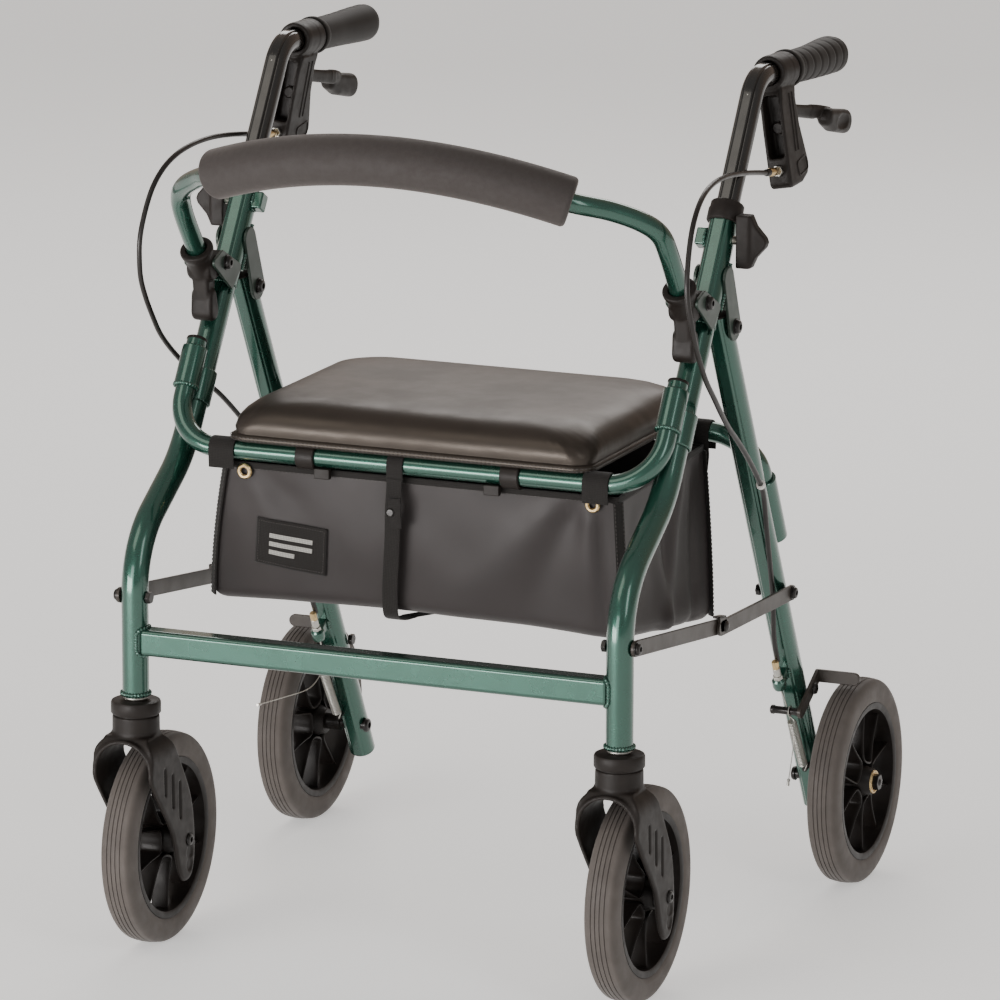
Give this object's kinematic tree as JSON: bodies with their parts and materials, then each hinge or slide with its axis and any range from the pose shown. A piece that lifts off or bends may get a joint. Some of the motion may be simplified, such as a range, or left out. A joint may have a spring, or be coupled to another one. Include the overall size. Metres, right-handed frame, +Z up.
{
  "type": "rollator walker",
  "caption": "Folding rollator walker with swivel front casters, a flip-up padded seat over a storage bag, a curved backrest bar and cable hand brakes.",
  "frame": {"origin": "on the ground under the middle of the walker's bounding box", "axes": "+Z up; -Y is the way it rolls forward, the side of the casters and the backrest; +X is the user's left"},
  "size_m": [0.6396, 0.6535, 0.8344],
  "materials": {
    "green_enamel": "metallic green enamel, gloss",
    "black_paint": "black, satin",
    "black_plastic": "fine grain",
    "steel": "zinc plated",
    "cable_sheath": "smooth sheath",
    "black_handle_tube": "black, gloss",
    "grip_rubber": "matt",
    "tyre": "grey-brown, matt",
    "backrest_foam": "foam, matt",
    "seat_vinyl": "padded vinyl, semi-gloss",
    "seat_board": "black",
    "bag_fabric": "coated nylon"
  },
  "bodies": {
    "frame": {"cross_tube": "green_enamel", "front_rail": "green_enamel", "storage_bag": "bag_fabric", "front_leg_left": "green_enamel", "pivot_bracket_left": "green_enamel", "front_bracket_left": "green_enamel", "leg_pivot_bolt_left": "black_paint", "rail_sleeve_left": "green_enamel", "backrest_socket_left": "black_plastic", "clamp_collar_left": "black_plastic", "caster_stem_left": "steel", "brake_cable_left": "cable_sheath", "front_leg_right": "green_enamel", "pivot_bracket_right": "green_enamel", "front_bracket_right": "green_enamel", "leg_pivot_bolt_right": "black_paint", "rail_sleeve_right": "green_enamel", "backrest_socket_right": "black_plastic", "clamp_collar_right": "black_plastic", "caster_stem_right": "steel", "brake_cable_right": "cable_sheath"},
    "rear_frame": {"rear_rail": "green_enamel", "rear_leg_left": "green_enamel", "rear_axle_left": "black_paint", "rear_leg_right": "green_enamel", "rear_axle_right": "black_paint"},
    "seat": {"seat_board": "seat_board", "seat_cushion": "seat_vinyl", "seat_hinge_left": "black_plastic", "seat_hinge_right": "black_plastic"},
    "backrest": {"backrest_tube": "green_enamel", "backrest_pad": "backrest_foam"},
    "handle_left": {"handle_tube_left": "black_handle_tube", "hand_grip_left": "grip_rubber", "brake_housing_left": "black_plastic"},
    "brake_lever_left": {"brake_lever_left": "black_plastic"},
    "height_knob_left": {"height_knob_left": "black_plastic"},
    "brake_arm_left": {"brake_arm_left": "black_paint"},
    "caster_left": {"caster_fork_left": "black_plastic", "caster_axle_left": "black_paint"},
    "front_wheel_left": {"front_tyre_left": "tyre", "front_hub_left": "black_plastic"},
    "rear_wheel_left": {"rear_tyre_left": "tyre", "rear_hub_left": "black_plastic"},
    "brace_front_left": {"brace_front_link_left": "black_paint"},
    "brace_rear_left": {"brace_rear_link_left": "black_paint"},
    "handle_right": {"handle_tube_right": "black_handle_tube", "hand_grip_right": "grip_rubber", "brake_housing_right": "black_plastic"},
    "brake_lever_right": {"brake_lever_right": "black_plastic"},
    "height_knob_right": {"height_knob_right": "black_plastic"},
    "brake_arm_right": {"brake_arm_right": "black_paint"},
    "caster_right": {"caster_fork_right": "black_plastic", "caster_axle_right": "black_paint"},
    "front_wheel_right": {"front_tyre_right": "tyre", "front_hub_right": "black_plastic"},
    "rear_wheel_right": {"rear_tyre_right": "tyre", "rear_hub_right": "black_plastic"},
    "brace_front_right": {"brace_front_link_right": "black_paint"},
    "brace_rear_right": {"brace_rear_link_right": "black_paint"}
  },
  "joints": [
    {"name": "fold", "type": "hinge", "parent": "frame", "child": "rear_frame", "pos_m": [0, -0.03, 0.5984], "axis": [-1, 0, 0], "range_deg": [0, 25], "deforming": ["storage_bag", "brake_cable_left", "brake_cable_right"]},
    {"name": "seat_flip", "type": "hinge", "parent": "frame", "child": "seat", "pos_m": [0, -0.1906, 0.4757], "axis": [1, 0, 0], "range_deg": [0, 80]},
    {"name": "backrest_lift", "type": "slide", "parent": "frame", "child": "backrest", "axis": [0, -0.5821, 0.8131], "range_m": [0, 0.06]},
    {"name": "handle_height_left", "type": "slide", "parent": "frame", "child": "handle_left", "axis": [0, 0.5361, 0.8442], "range_m": [0, 0.06], "deforming": ["brake_cable_left"]},
    {"name": "knob_turn_left", "type": "hinge", "parent": "frame", "child": "height_knob_left", "pos_m": [0.257, -0.0308, 0.68], "axis": [1, 0, 0], "continuous": true},
    {"name": "brake_squeeze_left", "type": "hinge", "parent": "handle_left", "child": "brake_lever_left", "pos_m": [0.2511, 0.114, 0.778], "axis": [1, 0, 0], "range_deg": [0, 10], "stiffness_Nm_per_rad": 0.3, "springref_deg": -5.73},
    {"name": "brake_arm_turn_left", "type": "hinge", "parent": "rear_frame", "child": "brake_arm_left", "pos_m": [0.2603, 0.188, 0.199], "axis": [-1, 0, 0], "range_deg": [0, 5]},
    {"name": "brace_front_turn_left", "type": "hinge", "parent": "frame", "child": "brace_front_left", "pos_m": [0.2589, -0.274, 0.346], "axis": [1, 0, 0], "range_deg": [0, 32.8]},
    {"name": "brace_rear_turn_left", "type": "hinge", "parent": "rear_frame", "child": "brace_rear_left", "pos_m": [0.2623, 0.1214, 0.31], "axis": [-1, 0, 0], "range_deg": [0, 42.69]},
    {"name": "caster_swivel_left", "type": "hinge", "parent": "frame", "child": "caster_left", "pos_m": [0.2443, -0.274, 0.2507], "axis": [0, 0, 1], "continuous": true},
    {"name": "front_wheel_spin_left", "type": "hinge", "parent": "caster_left", "child": "front_wheel_left", "pos_m": [0.2443, -0.2257, 0.10111], "axis": [1, 0, 0], "continuous": true},
    {"name": "rear_wheel_spin_left", "type": "hinge", "parent": "rear_frame", "child": "rear_wheel_left", "pos_m": [0.2925, 0.2256, 0.10111], "axis": [1, 0, 0], "continuous": true},
    {"name": "handle_height_right", "type": "slide", "parent": "frame", "child": "handle_right", "axis": [0, 0.5361, 0.8442], "range_m": [0, 0.06], "deforming": ["brake_cable_right"]},
    {"name": "knob_turn_right", "type": "hinge", "parent": "frame", "child": "height_knob_right", "pos_m": [-0.257, -0.0308, 0.68], "axis": [-1, 0, 0], "continuous": true},
    {"name": "brake_squeeze_right", "type": "hinge", "parent": "handle_right", "child": "brake_lever_right", "pos_m": [-0.2511, 0.114, 0.778], "axis": [1, 0, 0], "range_deg": [0, 10], "stiffness_Nm_per_rad": 0.3, "springref_deg": -5.73},
    {"name": "brake_arm_turn_right", "type": "hinge", "parent": "rear_frame", "child": "brake_arm_right", "pos_m": [-0.2603, 0.188, 0.199], "axis": [-1, 0, 0], "range_deg": [0, 5]},
    {"name": "brace_front_turn_right", "type": "hinge", "parent": "frame", "child": "brace_front_right", "pos_m": [-0.2589, -0.274, 0.346], "axis": [1, 0, 0], "range_deg": [0, 32.8]},
    {"name": "brace_rear_turn_right", "type": "hinge", "parent": "rear_frame", "child": "brace_rear_right", "pos_m": [-0.2623, 0.1214, 0.31], "axis": [-1, 0, 0], "range_deg": [0, 42.69]},
    {"name": "caster_swivel_right", "type": "hinge", "parent": "frame", "child": "caster_right", "pos_m": [-0.2443, -0.274, 0.2507], "axis": [0, 0, 1], "continuous": true},
    {"name": "front_wheel_spin_right", "type": "hinge", "parent": "caster_right", "child": "front_wheel_right", "pos_m": [-0.2443, -0.2257, 0.10111], "axis": [1, 0, 0], "continuous": true},
    {"name": "rear_wheel_spin_right", "type": "hinge", "parent": "rear_frame", "child": "rear_wheel_right", "pos_m": [-0.2925, 0.2256, 0.10111], "axis": [1, 0, 0], "continuous": true}
  ],
  "couplings": [
    {"joint": "brake_arm_turn_left", "follows": "brake_squeeze_left", "ratio": 0.5},
    {"joint": "brace_front_turn_left", "follows": "fold", "ratio": 1.3098},
    {"joint": "brace_rear_turn_left", "follows": "fold", "ratio": 1.7055},
    {"joint": "brake_arm_turn_right", "follows": "brake_squeeze_right", "ratio": 0.5},
    {"joint": "brace_front_turn_right", "follows": "fold", "ratio": 1.3098},
    {"joint": "brace_rear_turn_right", "follows": "fold", "ratio": 1.7055}
  ]
}
